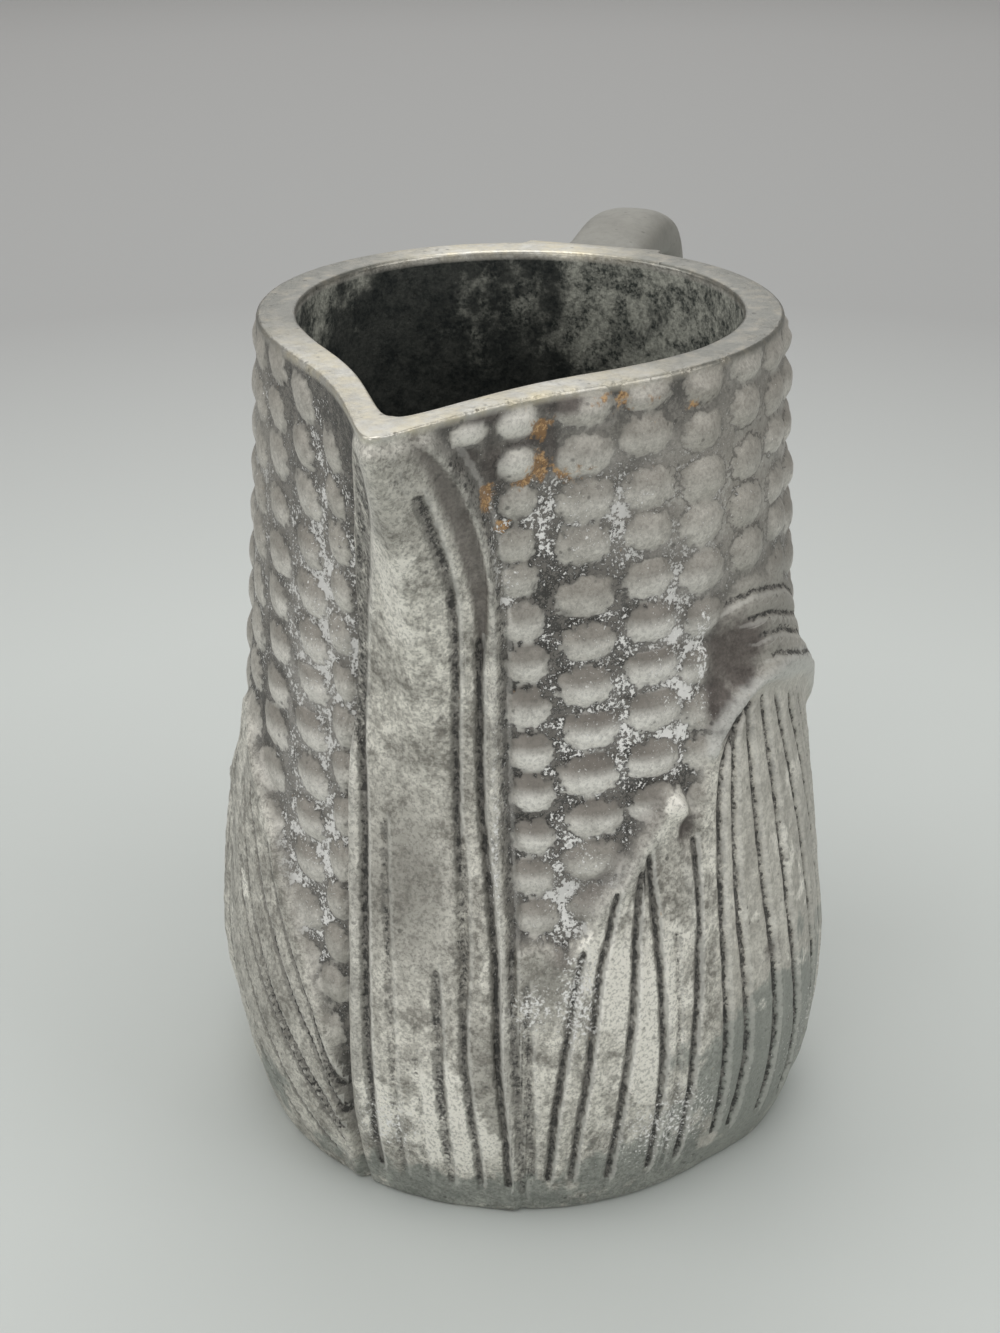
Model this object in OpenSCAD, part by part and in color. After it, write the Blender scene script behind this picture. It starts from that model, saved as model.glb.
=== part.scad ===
// Cast creamer in the form of an ear of corn: a pinched spout, rows of kernels and husk leaves.
// Origin at the centre of the underside, +Z up, spout towards +X, handle towards -X. Millimetres.

/* [Body] */
// Height from the table to the ground rim
body_h = 105; // [95:1:115]
// Outer radius of the mouth, away from the spout
mouth_r = 30.4; // [28:0.2:33]
// Outer radius where the foot meets the table, under the leaves
foot_r = 33; // [31:0.5:35]
// Widest outer radius of the belly, under the leaves
belly_r = 36.8; // [35:0.2:40]
// Height of the widest ring of the belly
belly_z = 22; // [16:1:32]
// Thickness of the casting between the kernels
wall = 4.6; // [3.8:0.1:5.4]

/* [Spout] */
// How far the lip stands out past the round of the mouth
spout_reach = 20.4; // [14:0.2:24]
// Height at which the pinch of the spout begins
spout_z = 52; // [40:1:64]
// Extra metal behind the tip of the lip
tip_t = 2.8; // [1:0.2:4]

/* [Kernels] */
// Number of columns of kernels round the ear
kernel_cols = 28; // [26:1:30]
// Number of half rows of kernels up the ear; the first row's middle is a half row under the rim
kernel_rows = 39; // [35:2:43]
// How far a kernel stands out of the casting
kernel_t = 1; // [0.6:0.1:1.4]

/* [Husk leaves] */
// How far a leaf stands out of the casting
leaf_t = 1.3; // [0.8:0.1:1.8]
// Depth of the grooves between the veins of a leaf
vein_t = 0.6; // [0.2:0.1:0.9]
// Depth of the grooves along the two edges of the front leaf
edge_groove_t = 1; // [0.4:0.1:1.4]
// How far the rolled lip of the folded leaf stands out past the leaf
lip_t = 1.3; // [0.6:0.1:2]
// Height of the rolled lip of the folded leaf along the body
lip_w = 6; // [4:0.5:8]
// How far the folded leaves swell past the others, low on the belly
swell_t = 2.2; // [1:0.1:3]

/* [Foot] */
// Thickness of the disc that closes the foot
disc_t = 4.5; // [3:0.5:5.5]
// Radius of the disc
disc_r = 28; // [26:0.5:28]
// Clearance round the disc in its bore
disc_fit = 0.1; // [0.05:0.05:0.2]
// Height of the flange that the disc is set into
flange_h = 7.5; // [7:0.5:9]
// Width and height of the solder bead that holds the disc
bead = 2; // [1:0.25:2.5]

/* [Handle] */
// Direction of the handle, counted from the spout
handle_turn = 178.5; // [172:0.5:188]
// Distance from the body's axis to the handle's outer face
handle_reach = 60.5; // [55:0.5:64]
// Width of the handle
handle_w = 11; // [9:0.5:11.5]
// Thickness of the handle
handle_t = 6.6; // [5:0.2:7]
// How far the root of the handle lies below the rim
handle_drop = 0.6; // [0.2:0.1:2]
// How far the handle arches up past its root
handle_rise = 2; // [0:0.5:4]
// Height of the middle of the handle's lower end
handle_low_z = 41; // [39:1:43]
// Depth of the flutes along the handle
flute_t = 0.4; // [0:0.1:0.6]
// Leg of the solder fillets at the handle's two ends
fillet = 1.4; // [0.8:0.1:1.6]

/* [Hidden] */
$fn = 96;
pewter = [0.64, 0.63, 0.60];
solder = [0.70, 0.70, 0.68];

// Grid of the outer surface: a kernel is four steps wide and two steps high
steps_per_kernel = 4;
cols = kernel_cols * steps_per_kernel;
step_a = 360 / cols;
row_h = body_h / kernel_rows;
kernel_side_share = 0.8;
inner_rows = 4;

// Taper of the wall from the belly to the rim, how softly it starts, and the fade and sharpness of the spout
taper_power = 1.2;
taper_ease_share = 0.08;
spout_power = 1.7;
spout_spread_a = 14.5;
spout_round_a = 1.6;
tip_spread_a = 5;

// Edges of the front leaf: height as a share of the body, then the angle from the spout
front_right_shares = [[0, 17.5], [0.4, 16.5], [0.67, 14.5], [0.8, 12.5], [0.9, 10], [1, 7.5]];
front_left_shares = [[0, 18.5], [0.4, 17], [0.67, 15.8], [0.8, 14], [0.9, 11.5], [1, 5]];
// Upper edge of the other leaves round the body: angle from the spout, then height as a share
husk_shares = [
    [-180, 0.40], [-158, 0.40], [-146, 0.42], [-134, 0.50], [-127, 0.56], [-122, 0.50], [-112, 0.40],
    [-104, 0.385], [-88, 0.385], [-74, 0.42], [-67, 0.53], [-60, 0.565], [-50, 0.54], [-40, 0.475],
    [-30, 0.39], [-22, 0.28], [-17, 0.19], [17, 0.38], [26, 0.38], [31, 0.45], [38, 0.51], [46, 0.55],
    [51, 0.53], [54, 0.58], [60, 0.62], [67, 0.638], [76, 0.638], [88, 0.64], [100, 0.605], [109, 0.52],
    [115, 0.46], [124, 0.55], [128, 0.57], [132, 0.54], [142, 0.42], [158, 0.40], [180, 0.40]];
// Upper edge of the flap that folds back over the leaf on the right
flap_shares = [[54, 0.60], [60, 0.71], [67, 0.755], [76, 0.765], [88, 0.745], [100, 0.67], [109, 0.53]];
// Height over which veins and grooves fade out above the foot
foot_fade_h = 8;
// Half width of the leaf behind the handle, in degrees
back_leaf_a = 17;
// Width over which the edge of a leaf rises, across and up the body
edge_a = 3;
edge_h = 2.6;
// Where the folded leaves begin, end and swell most
right_fold_a = [54, 112];
left_fold_a = [-112, -70];
fold_edge_a = 8;
swell_shares = [[0, 0.75], [0.06, 0.9], [0.14, 1], [0.25, 0.85], [0.4, 0.5], [0.6, 0.2], [0.75, 0]];

// Flats on the back of the casting where the handle is soldered on, a little wider than the joint
root_share = 1.1;
joint_w = handle_w * root_share / 2 + fillet;
joint_h = handle_t * root_share / 2 + fillet;
top_joint_z = body_h - handle_drop - handle_t * root_share / 2;
top_half_a = asin(joint_w / mouth_r);
low_half_a = asin(joint_w / belly_r);
top_seat = (mouth_r + leaf_t) * cos(top_half_a);
low_seat = (round_r(handle_low_z) + leaf_t) * cos(low_half_a);

function clamp01(v) = max(0, min(1, v));
function smooth(v) = let(c = clamp01(v)) c * c * (3 - 2 * c);
// Angle between -180 and 180
function turned(a) = a > 180 ? a - 360 : a;

// Radius of the plain round body at height z
function eased(v) = sqrt(v * v + taper_ease_share * taper_ease_share) - taper_ease_share;
function round_r(z) = z < belly_z
    ? foot_r + (belly_r - foot_r) * (1 - pow((belly_z - z) / belly_z, 2))
    : mouth_r + (belly_r - mouth_r)
        * pow(1 - clamp01(eased((z - belly_z) / (body_h - belly_z)) / eased(1)), taper_power);
// How far the spout has grown at height z, and how it fades at angle a to either side
function spout_rise(z) = pow(clamp01((z - spout_z) / (body_h - spout_z)), spout_power);
function spout_shape(a) =
    exp(-(sqrt(a * a + spout_round_a * spout_round_a) - spout_round_a) / spout_spread_a);
function base_r(a, z) = round_r(z) + spout_reach * spout_rise(z) * spout_shape(a);
function inner_r(a, z) = base_r(a, z) - wall - tip_t * spout_rise(z) * exp(-abs(a) / tip_spread_a);

// How far, in degrees, angle a lies inside the nearer edge of the front leaf
function front_inside(a, z) = a > 0
    ? lookup(z / body_h, front_right_shares) - a
    : lookup(z / body_h, front_left_shares) + a;
// Share of leaf, 0 to 1, at angle a and height z
function front_leaf(a, z) = smooth(front_inside(a, z) / edge_a + 0.5);
function foot_fade(z) = smooth(z / foot_fade_h);
function edge_groove(a, z) = smooth(1 - abs(front_inside(a, z)) / edge_a) * foot_fade(z);
function back_leaf(a, z) = smooth((back_leaf_a - abs(abs(a) - 180)) / edge_a + 0.5);
function husk_top(a) = lookup(a, husk_shares) * body_h;
function low_leaf(a, z) = smooth((husk_top(a) - z) / edge_h + 0.5);
function leaf_share(a, z) = max(front_leaf(a, z), back_leaf(a, z), low_leaf(a, z));

// The folded leaves: where they are and their swell, and the rolled lip and flap of the right one
function within(a, span) = smooth((a - span[0]) / fold_edge_a) * smooth((span[1] - a) / fold_edge_a);
function lip(a, z) = smooth(1 - abs(z - husk_top(a) + lip_w / 2) / lip_w)
    * within(a, right_fold_a);
function flap(a, z) = within(a, right_fold_a) * smooth((z - husk_top(a)) / edge_h + 0.5)
    * smooth((lookup(a, flap_shares) * body_h - z) / edge_h + 0.5);
function swell(a, z) = max(within(a, right_fold_a), within(a, left_fold_a))
    * lookup(z / body_h, swell_shares) * low_leaf(a, z);

// Kernels, in level rows: i counts the steps round the ear and j the half rows up it
function kernel_top(i, j) =
    let(across = i % steps_per_kernel)
    across == 0 || (kernel_rows - j) % 2 == 0 ? 0 : across == steps_per_kernel / 2 ? 1 : kernel_side_share;
function vein(i, z) = i % 2 == 0 ? -vein_t * foot_fade(z) : 0;

// Radius of the outer surface at grid point i, j
function relief(i, j) =
    let(a = turned(i * step_a), z = j * row_h, leaf = leaf_share(a, z), fold = flap(a, z))
    leaf * (leaf_t + vein(i, z)) + (1 - leaf) * max(kernel_t * kernel_top(i, j) * (1 - fold), leaf_t * fold)
    + lip_t * lip(a, z) + swell_t * swell(a, z) - edge_groove_t * edge_groove(a, z);
function on_seat(a, z) =
    let(off = abs(a - turned(handle_turn)), turn = min(off, 360 - off))
    turn < top_half_a + step_a && z > top_joint_z - joint_h - row_h / 2 ? top_seat
    : turn < low_half_a + step_a && abs(z - handle_low_z) < joint_h + row_h / 2 ? low_seat : 0;
function outer_r(i, j) =
    let(a = turned(i * step_a), z = j * row_h, seat = on_seat(a, z))
    seat > 0 ? seat / cos(a - handle_turn) : base_r(a, z) + (j == kernel_rows ? 0 : relief(i, j));

// Closed tube of rings that all have n points; faces are triangles seen clockwise from outside
function ring_wall(k, n) = [for (i = [0 : n - 1])
    let(p = k * n + i, q = k * n + (i + 1) % n, r = p + n, s = q + n)
    each ((i + k) % 2 == 0 ? [[p, r, q], [q, r, s]] : [[p, r, s], [p, s, q]])];

module body() {
    ring_a = [for (i = [0 : cols - 1]) i * step_a];
    bore_r = (disc_r + disc_fit) / cos(step_a / 2);
    outside = [for (j = [0 : kernel_rows]) for (i = [0 : cols - 1])
        let(r = outer_r(i, j)) [r * cos(ring_a[i]), r * sin(ring_a[i]), j * row_h]];
    inside = [for (j = [0 : inner_rows]) for (a = ring_a)
        let(z = body_h - (body_h - flange_h) * j / inner_rows, r = inner_r(turned(a), z))
        [r * cos(a), r * sin(a), z]];
    flange = [for (z = [flange_h, 0]) for (a = ring_a) [bore_r * cos(a), bore_r * sin(a), z]];
    rings = kernel_rows + 1 + inner_rows + 1 + 2;
    around = [for (k = [0 : rings - 2]) each ring_wall(k, cols)];
    close = [for (i = [0 : cols - 1])
        let(p = (rings - 1) * cols + i, q = (rings - 1) * cols + (i + 1) % cols, r = i, s = (i + 1) % cols)
        each [[p, r, s], [p, s, q]]];
    color(pewter) polyhedron(points = concat(outside, inside, flange), faces = concat(around, close));
}

module base_disc() {
    color(pewter) cylinder(r = disc_r, h = disc_t);
}

module base_solder() {
    bead_r = disc_r + disc_fit;
    color(solder) rotate_extrude()
        polygon([[bead_r - bead, disc_t], [bead_r, disc_t], [bead_r, disc_t + bead]]);
}

// Handle: middle line in the plane of the handle, as two curves between straight ends
straight = fillet * 2;
path_reach = handle_reach - handle_t / 2;
path_drop = top_joint_z - handle_low_z;
corner_share = 0.2;
arch_share = 0.45;
first_arch_share = 0.7;
top_pull_share = 0.6;
side_pull_share = 0.48;
low_pull_share = 0.8;
curve_steps = 14;
function bezier(p, t) = pow(1 - t, 3) * p[0] + 3 * pow(1 - t, 2) * t * p[1]
    + 3 * (1 - t) * t * t * p[2] + t * t * t * p[3];
top_end = [top_seat + straight, top_joint_z];
low_end = [low_seat + straight, handle_low_z];
outermost = [path_reach, top_joint_z - path_drop * corner_share];
arch = handle_rise / arch_share;
top_curve = [top_end, top_end + [(path_reach - top_end[0]) * top_pull_share, arch * first_arch_share],
    [path_reach, top_joint_z + arch], outermost];
low_curve = [outermost, outermost - [0, path_drop * side_pull_share],
    low_end + [(path_reach - low_end[0]) * low_pull_share, 0], low_end];
path = concat([[top_seat, top_joint_z]],
    [for (k = [0 : curve_steps]) bezier(top_curve, k / curve_steps)],
    [for (k = [1 : curve_steps]) bezier(low_curve, k / curve_steps)],
    [[low_seat, handle_low_z]]);

// Outline of the handle's section: a flat oval, with two flutes along its outer face
section_points = 20;
section_power = 0.75;
function oval(v) = sign(v) * pow(abs(v), section_power);
function section(w, t, flute) = [for (k = [0 : section_points - 1])
    let(a = 360 * k / section_points, hollow = flute * (1 - cos(3 * (a - 90))) / 2)
    [w / 2 * oval(cos(a)), (t / 2 - (a < 180 ? hollow * abs(sin(a)) : 0)) * oval(sin(a))]];
// Direction of the path at point k
function heading(k) = let(last = len(path) - 1, d = path[min(k + 1, last)] - path[max(k - 1, 0)],
    e = k == 0 ? path[1] - path[0] : k == last ? path[last] - path[last - 1] : d) e / norm(e);
function handle_ring(k, w, t, flute) = let(h = heading(k)) [for (p = section(w, t, flute))
    [path[k][0] - h[1] * p[1], p[0], path[k][1] + h[0] * p[1]]];

module handle() {
    last = len(path) - 1;
    rings = [for (k = [0 : last])
        let(root = k < 2 || k > last - 2, grow = root ? root_share : 1)
        each handle_ring(k, handle_w * grow, handle_t * grow, root ? 0 : flute_t)];
    sides = [for (k = [0 : last - 1]) each ring_wall(k, section_points)];
    ends = [[for (k = [0 : section_points - 1]) k],
        [for (k = [section_points - 1 : -1 : 0]) last * section_points + k]];
    color(pewter) rotate([0, 0, handle_turn])
        polyhedron(points = rings, faces = concat(sides, ends));
}

// Fillet round one end of the handle: it lies on the flat at seat and runs up the handle by its leg
module solder_ring(seat, z) {
    inner = section(handle_w * root_share, handle_t * root_share, 0);
    outer = section(handle_w * root_share + 2 * fillet, handle_t * root_share + 2 * fillet, 0);
    corner = [for (p = inner) [seat, p[0], z + p[1]]];
    leg = [for (p = inner) [seat + fillet, p[0], z + p[1]]];
    foot = [for (p = outer) [seat, p[0], min(z + p[1], body_h)]];
    n = section_points;
    faces = [for (i = [0 : n - 1]) let(j = (i + 1) % n) each [
        [i, j + n, i + n], [i, j, j + n],
        [i + n, j + 2 * n, i + 2 * n], [i + n, j + n, j + 2 * n],
        [i + 2 * n, j, i], [i + 2 * n, j + 2 * n, j]]];
    polyhedron(points = concat(corner, leg, foot), faces = faces);
}

module handle_solder() {
    color(solder) rotate([0, 0, handle_turn]) {
        solder_ring(top_seat, top_joint_z);
        solder_ring(low_seat, handle_low_z);
    }
}

body();
base_disc();
base_solder();
handle();
handle_solder();
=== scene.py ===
from math import pi, radians

import bpy
import numpy as np
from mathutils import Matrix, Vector, noise


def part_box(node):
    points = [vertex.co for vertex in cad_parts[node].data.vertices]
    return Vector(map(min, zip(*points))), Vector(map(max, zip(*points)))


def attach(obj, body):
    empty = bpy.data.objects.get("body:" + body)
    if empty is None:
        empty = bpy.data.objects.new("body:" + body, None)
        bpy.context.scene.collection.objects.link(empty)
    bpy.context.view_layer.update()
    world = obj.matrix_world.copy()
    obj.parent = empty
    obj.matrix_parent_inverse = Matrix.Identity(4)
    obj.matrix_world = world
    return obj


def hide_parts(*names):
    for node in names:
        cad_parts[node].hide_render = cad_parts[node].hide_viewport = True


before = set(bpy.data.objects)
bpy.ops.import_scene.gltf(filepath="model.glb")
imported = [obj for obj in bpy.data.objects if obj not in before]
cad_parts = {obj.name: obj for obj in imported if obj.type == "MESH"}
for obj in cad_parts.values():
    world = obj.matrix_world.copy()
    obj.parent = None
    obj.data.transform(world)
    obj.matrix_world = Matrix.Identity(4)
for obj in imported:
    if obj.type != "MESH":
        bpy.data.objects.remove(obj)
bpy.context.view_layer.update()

# Camera: a hand's reach from the lip, a little to its right, looking down into the mouth.
# A long lens with no shift, so that the jug keeps the photograph's proportions.
mm = 0.001
camera_place = Vector((219.5, 65.5, 166.4)) * mm
camera_heading = Vector((-0.8635, -0.2679, -0.4274))
long_side_px = 1333
focal_px = 2000
film_w = 36
bpy.ops.object.camera_add(location=camera_place, rotation=camera_heading.to_track_quat("-Z", "Y").to_euler())
camera = bpy.context.object
camera.data.sensor_width = film_w
camera.data.lens = film_w * focal_px / long_side_px
camera.data.clip_start = 10 * mm
bpy.context.scene.camera = camera
bpy.context.scene.view_settings.view_transform = "Standard"


# Small steps that the materials of all pieces are made of.
def feed(tree, socket, value):
    """Links another node's output to a socket, or gives the socket a fixed value."""
    if isinstance(value, bpy.types.NodeSocket):
        tree.links.new(value, socket)
    else:
        socket.default_value = value


def add_node(tree, kind, inputs=None, **settings):
    """One shader node: settings are its own choices, inputs the values or links of its sockets."""
    made = tree.nodes.new(kind)
    for name, value in settings.items():
        setattr(made, name, value)
    for name, value in (inputs or {}).items():
        feed(tree, made.inputs[name], value)
    return made


def math_node(tree, operation, *values):
    """The result of one step of arithmetic."""
    return add_node(tree, "ShaderNodeMath", dict(enumerate(values)), operation=operation).outputs[0]


def plain_material(name):
    """A new material with its tree, its Principled shader and the place of each point on the piece."""
    material = bpy.data.materials.new(name)
    material.use_nodes = True
    tree = material.node_tree
    place = add_node(tree, "ShaderNodeTexCoord").outputs["Object"]
    return material, tree, tree.nodes["Principled BSDF"], place


def paint(tree, shader, colour, metallic, roughness):
    """Gives a material its colour, its share of metal and its roughness."""
    for name, value in (("Base Color", colour), ("Metallic", metallic), ("Roughness", roughness)):
        feed(tree, shader.inputs[name], value)


def dress(piece, material):
    """Makes a material the only one of a piece."""
    piece.data.materials.clear()
    piece.data.materials.append(material)


# Table: a plain pale sheet that the jug stands on, its colour a painted pool of light, brightest round the
# jug and greyer further off, and a little darker towards the middle as painted shadow under the jug.
# It is part of the setting and not of the jug.
table_r = 2500 * mm
table_light_pool_colours = [(0, (0.57, 0.60, 0.58)), (0.06, (0.61, 0.64, 0.62)), (0.16, (0.43, 0.435, 0.43)),
                 (0.4, (0.51, 0.51, 0.505))]
bpy.ops.object.select_all(action="DESELECT")
bpy.ops.mesh.primitive_circle_add(vertices=96, radius=table_r, fill_type="NGON")
table = bpy.context.object
table.name = "table"
material, tree, shader, place = plain_material("table_sheet")
away = add_node(tree, "ShaderNodeVectorMath", {0: place}, operation="LENGTH").outputs["Value"]
away = math_node(tree, "DIVIDE", away, table_r)
ramp = add_node(tree, "ShaderNodeValToRGB", {"Fac": away})
for place_share, colour in table_light_pool_colours:
    stop = ramp.color_ramp.elements.new(place_share) if place_share else ramp.color_ramp.elements[0]
    stop.position = place_share
    stop.color = (*colour, 1)
ramp.color_ramp.elements[-1].color = (*table_light_pool_colours[-1][1], 1)
paint(tree, shader, ramp.outputs["Color"], 0, 0.6)
dress(table, material)

# Light: wide soft lamps above, behind and to both sides, and an even grey room.
# The room is dimmer than the table, so the undersides of the kernels catch the pale table.
# Each lamp is its place, the point it shines at, its width and its watts, with lengths in millimetres.
lamps = {
    "lamp_above": ((60, 20, 1000), (0, 0, 0), 900, 5.0),
    "lamp_behind": ((-1000, -330, 760), (0, 0, 60), 1000, 2.6),
    "lamp_left": ((350, -850, 500), (0, 0, 50), 600, 2.2),
    "lamp_right": ((100, 900, 500), (0, 0, 50), 600, 2.0),
    "lamp_front": ((900, -60, 170), (0, 0, 60), 500, 2.1),
}
for name, (lamp_place, aim, lamp_w, watts) in lamps.items():
    lamp_place, aim = Vector(lamp_place) * mm, Vector(aim) * mm
    turn = (aim - lamp_place).to_track_quat("-Z", "Y").to_euler()
    bpy.ops.object.light_add(type="AREA", location=lamp_place, rotation=turn)
    lamp = bpy.context.object
    lamp.name = name
    lamp.data.energy = watts
    lamp.data.size = lamp_w * mm
room = bpy.data.worlds.new("room")
bpy.context.scene.world = room
room.use_nodes = True
tree = room.node_tree
tree.nodes["Background"].inputs["Color"].default_value = (0.29, 0.285, 0.275, 1)
tree.nodes["Background"].inputs["Strength"].default_value = 1

# Body: one casting with a pinched spout, rows of kernels and husk leaves, its rim ground flat.
# Its section is spun round the axis, and the surface is then pushed in and out like the carver's pattern.
body_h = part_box("body")[1].z / mm
mouth_r, foot_r, belly_r, belly_z = 30.4, 33, 36.8, 22
wall_t, rim_edge_r, foot_edge_r = 4.6, 0.5, 0.9
flange_h, bore_r = 7.5, 28.1
columns_round, kernel_row_h, leaf_row_h, leaf_top_z = 500, 0.62, 0.85, 28
fine_side, fine_share = radians(17), 0.4
shoulder_ease, shoulder_power = 0.08, 1.2
spout_reach, spout_z, spout_power, nose_a = 20.4, 52, 1.7, 1.6
spout_parts = [(0.85, 11), (0.15, 30)]  # Share of the reach, and the degrees over which it falls off
tip_t, tip_a = 2.8, 5


def smooth(v):
    """0 below 0, 1 above 1 and a soft step between."""
    v = np.clip(v, 0, 1)
    return v * v * (3 - 2 * v)


def between(v, low, low_soft, high, high_soft):
    """1 from low to high and 0 outside, with soft steps inside the two ends."""
    return smooth((v - low) / low_soft) * smooth((high - v) / high_soft)


def pick(where, new, old):
    """New values where a test holds and the old ones elsewhere, for several arrays at once."""
    return [np.where(where, fresh, kept) for fresh, kept in zip(new, old)]


def round_r(z):
    """Radius of the plain round body at height z."""
    low = foot_r + (belly_r - foot_r) * (1 - np.square((belly_z - z) / belly_z))
    up = (z - belly_z) / (body_h - belly_z)
    ease = shoulder_ease
    up = (np.sqrt(up * up + ease * ease) - ease) / (np.sqrt(1 + ease * ease) - ease)
    high = mouth_r + (belly_r - mouth_r) * (1 - np.clip(up, 0, 1)) ** shoulder_power
    return np.where(z < belly_z, low, high)


def spout_push(a, z, inner):
    """How far the pinch of the spout pushes the outer or the inner wall out."""
    rise = np.clip((z - spout_z) / (body_h - spout_z), 0, 1) ** spout_power
    off = np.sqrt(a * a + nose_a * nose_a) - nose_a
    shape = sum(share * np.exp(-off / wide) for share, wide in spout_parts)
    tip = np.exp(-np.abs(a) / tip_a) * tip_t
    return rise * (spout_reach * shape - inner * tip)


def rounded(edge_r, turns):
    """How far the points of a rounded edge lie in from its corner, and how far along."""
    return [(edge_r * (1 - np.cos(radians(turn))), edge_r * (1 - np.sin(radians(turn)))) for turn in turns]


def body_outline():
    """Section of the wall as (radius, height, share of the inner face, share that may move)."""
    rows = list(np.arange(foot_edge_r, leaf_top_z, leaf_row_h))
    rows += list(np.linspace(leaf_top_z, body_h - rim_edge_r, int((body_h - leaf_top_z) / kernel_row_h)))
    points = [(float(round_r(z)), float(z), 0, 1) for z in rows]
    points += [(mouth_r - off, body_h - down, 0, 1) for off, down in rounded(rim_edge_r, (30, 60, 90))]
    points += [(mouth_r - wall_t * share, body_h, share, 1) for share in (0.33, 0.67)]
    inner_rim_r = mouth_r - wall_t
    points += [(inner_rim_r + off, body_h - down, 1, 1) for off, down in rounded(rim_edge_r, (90, 60, 30))]
    inside_rows = [body_h - rim_edge_r, 103.7, 102.3, 100.4] + list(np.linspace(98, flange_h, 20))
    points += [(float(round_r(z)) - wall_t, float(z), 1, 1) for z in inside_rows]
    points += [(bore_r, flange_h, 1, 0), (bore_r, 0, 1, 0), (foot_r - foot_edge_r, 0, 0, 0)]
    foot_wide = float(round_r(np.array(foot_edge_r)))
    points += [(foot_wide - off, up, 0, 1) for off, up in rounded(foot_edge_r, (60, 30))]
    return points


def face_outwards():
    """Turns every face of the active mesh to point out of it."""
    bpy.ops.object.mode_set(mode="EDIT")
    bpy.ops.mesh.select_all(action="SELECT")
    bpy.ops.mesh.normals_make_consistent(inside=False)
    bpy.ops.object.mode_set(mode="OBJECT")


def points_of(piece):
    """Places of a mesh's points, one row each."""
    places = np.empty(len(piece.data.vertices) * 3)
    piece.data.vertices.foreach_get("co", places)
    return places.reshape(-1, 3)


def move_points(piece, places):
    """Moves a mesh's points to new places, one row each."""
    piece.data.vertices.foreach_set("co", places.ravel())
    piece.data.update()


outline = body_outline()
bpy.ops.object.select_all(action="DESELECT")
bpy.ops.mesh.primitive_circle_add(vertices=len(outline), radius=body_h * mm)
body = bpy.context.object
body.name = "cast_ear"
inner_share = body.data.attributes.new("inner_share", "FLOAT", "POINT")
free_share = body.data.attributes.new("free_share", "FLOAT", "POINT")
for vertex, (r, z, inner, free) in zip(body.data.vertices, outline):
    vertex.co = Vector((r, 0, z)) * mm
    inner_share.data[vertex.index].value = inner
    free_share.data[vertex.index].value = free
bpy.ops.object.mode_set(mode="EDIT")
bpy.ops.mesh.select_all(action="SELECT")
bpy.ops.mesh.spin(steps=columns_round, angle=2 * pi, center=(0, 0, 0), axis=(0, 0, 1))
bpy.ops.mesh.select_all(action="SELECT")
bpy.ops.mesh.remove_doubles(threshold=0.01 * mm)
bpy.ops.object.mode_set(mode="OBJECT")
face_outwards()

xyz = points_of(body) / mm
count = len(xyz)
inner = np.empty(count)
free = np.empty(count)
body.data.attributes["inner_share"].data.foreach_get("value", inner)
body.data.attributes["free_share"].data.foreach_get("value", free)
turn = np.arctan2(xyz[:, 1], xyz[:, 0])
turn -= fine_share * np.sin(turn - fine_side)
radius = np.hypot(xyz[:, 0], xyz[:, 1])
xyz[:, 0], xyz[:, 1] = radius * np.cos(turn), radius * np.sin(turn)
angle = np.degrees(np.arctan2(xyz[:, 1], xyz[:, 0]))
height = xyz[:, 2]
mm_per_degree = 0.6

# Places on the wall are (degrees from the spout, height). Upper edge of the leaves, left to right:
husk_edge = [(-180, 42), (-158, 42), (-146, 44), (-134, 52), (-127, 59), (-122, 52), (-112, 42), (-104, 40),
             (-88, 40), (-74, 44), (-67, 56), (-60, 58.5), (-54, 57), (-48, 54), (-42, 50.4), (-34.6, 43.2),
             (-28, 35.6), (-22.5, 28.9), (-18.9, 22), (-16, 0), (14, 0), (15, 40), (20, 41), (25, 38.5),
             (29, 42), (31, 46), (35, 47.5), (38, 52), (43, 56), (46, 57.5), (49, 55.5), (51.5, 53.5),
             (53, 58), (56, 62), (60, 65.2), (67, 67.4), (76, 67.2), (88, 65.6), (100, 61.8), (109, 54.5),
             (115, 48), (124, 58), (128, 60), (132, 57), (142, 44), (158, 42), (180, 42)]
front_left_edge = [(-3, 105), (-4.5, 103), (-7, 100), (-9.5, 95.5), (-12.3, 89), (-13.7, 82.5), (-14.5, 76),
                   (-16, 66), (-17.5, 60), (-17.9, 54), (-17.5, 45), (-16.7, 35), (-16.4, 22), (-16.8, 0)]
front_right_edge = [(5, 105), (7, 101.5), (9.2, 97), (11.4, 92), (12.8, 86), (13.6, 80), (13.6, 66),
                    (14.4, 52), (15.4, 41), (15.8, 30), (16.6, 20), (18, 0)]
flap_edge = [(54, 64), (57, 72), (60, 76.4), (64.5, 78.4), (71, 79), (79, 78), (87, 76), (95, 73), (102, 66),
             (109, 56)]


def across(line, z):
    """Angle of a line at height z, for lines that run up the wall."""
    points = sorted((p[1], p[0]) for p in line)
    return np.interp(z, [p[0] for p in points], [p[1] for p in points])


def above(line, a):
    """Height of a line at angle a, for lines that run round the wall."""
    return np.interp(a, [p[0] for p in line], [p[1] for p in line])


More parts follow.
